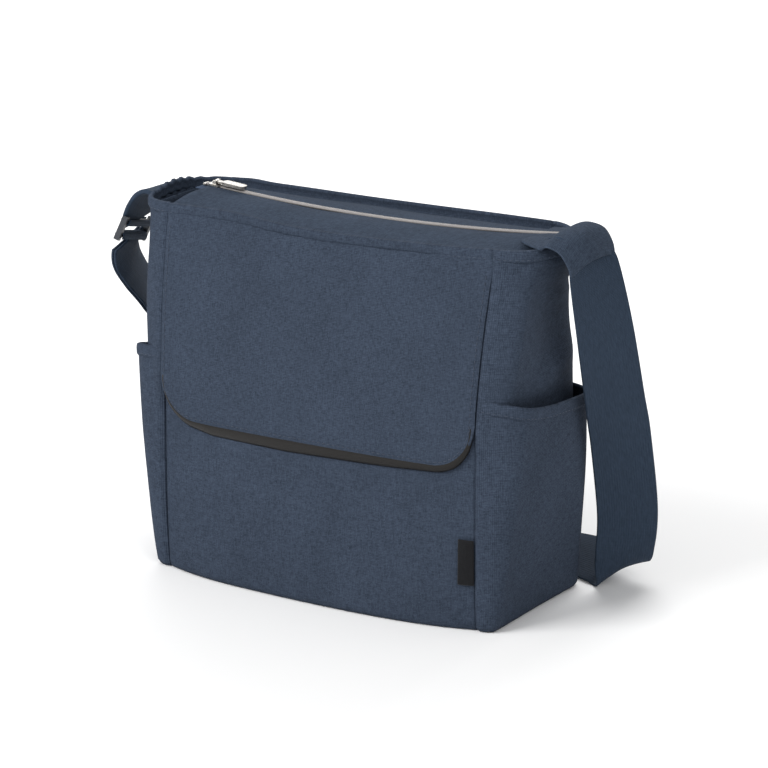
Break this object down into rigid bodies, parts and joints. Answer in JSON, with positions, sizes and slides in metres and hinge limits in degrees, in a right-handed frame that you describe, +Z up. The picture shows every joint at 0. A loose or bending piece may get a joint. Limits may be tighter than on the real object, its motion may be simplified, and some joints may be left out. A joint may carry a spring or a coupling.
{
  "type": "diaper bag",
  "caption": "Soft zip-top baby changing shoulder bag with a rounded front flap, open side pockets and a wide webbing strap.",
  "frame": {"origin": "centre of the base on the floor", "axes": "+X along the bag's width, to the right seen from the front; the front faces -Y; +Z up"},
  "size_m": [0.5066, 0.2256, 0.3307],
  "materials": {
    "fabric": "fine melange weave, matt",
    "base_fabric": "fine melange weave, matt",
    "hem_fabric": "fine melange weave, matt",
    "closure_fabric": "fine melange weave, matt",
    "lining": "smooth lining, satin",
    "board": "smooth",
    "trim": "satin",
    "zip_tape": "ribbed tape",
    "zip_coil": "satin taupe",
    "zip_metal": "bright satin",
    "magnet": "satin",
    "webbing": "ribbed webbing, slight sheen",
    "ring_metal": "satin black",
    "buckle": "satin",
    "label": "woven satin label"
  },
  "bodies": {
    "bag": {"bottom_panel": "base_fabric", "base_board": "board", "front_panel": "fabric", "back_panel": "fabric", "left_side_panel": "fabric", "right_side_panel": "fabric", "lining": "lining", "front_hem": "hem_fabric", "back_hem": "hem_fabric", "left_side_hem": "hem_fabric", "right_side_hem": "hem_fabric", "front_pocket": "fabric", "pocket_magnet": "magnet", "left_side_pocket": "fabric", "right_side_pocket": "fabric", "left_pocket_hem": "hem_fabric", "right_pocket_hem": "hem_fabric", "zip_panel_front": "closure_fabric", "zip_panel_back": "closure_fabric", "zip_tape_front": "zip_tape", "zip_tape_back": "zip_tape", "zip_coil": "zip_coil", "zip_stops": "zip_metal", "side_label": "label", "strap_anchor_left": "webbing", "strap_anchor_right": "webbing"},
    "flap": {"flap_panel": "fabric", "flap_lining": "lining", "flap_trim": "trim", "flap_magnet": "magnet"},
    "slider": {"zip_slider": "zip_metal"},
    "pull": {"zip_pull": "zip_metal"},
    "strap": {"strap_upper": "webbing", "strap_webbing": "webbing", "strap_return": "webbing", "strap_ring": "ring_metal", "zip_end_tab": "hem_fabric"},
    "adjuster": {"strap_adjuster": "buckle"}
  },
  "joints": [
    {"name": "flap_hinge", "type": "hinge", "parent": "bag", "child": "flap", "pos_m": [0, -0.0512, 0.302], "axis": [-1, 0, 0], "range_deg": [0, 165]},
    {"name": "zip_slide", "type": "hinge", "parent": "bag", "child": "slider", "pos_m": [0.028, 0, 2.216], "axis": [0, -1, 0], "range_deg": [0, 9.47]},
    {"name": "pull_flip", "type": "hinge", "parent": "slider", "child": "pull", "pos_m": [-0.14455, 0, 0.32887], "axis": [0, -1, 0], "range_deg": [0, 165]},
    {"name": "strap_swing", "type": "hinge", "parent": "bag", "child": "strap", "pos_m": [0, 0, 0.318], "axis": [1, 0, 0], "range_deg": [0, 160]},
    {"name": "adjuster_slide", "type": "slide", "parent": "strap", "child": "adjuster", "axis": [0.5157, 0.4207, -0.7464], "range_m": [0, 0.042]}
  ]
}
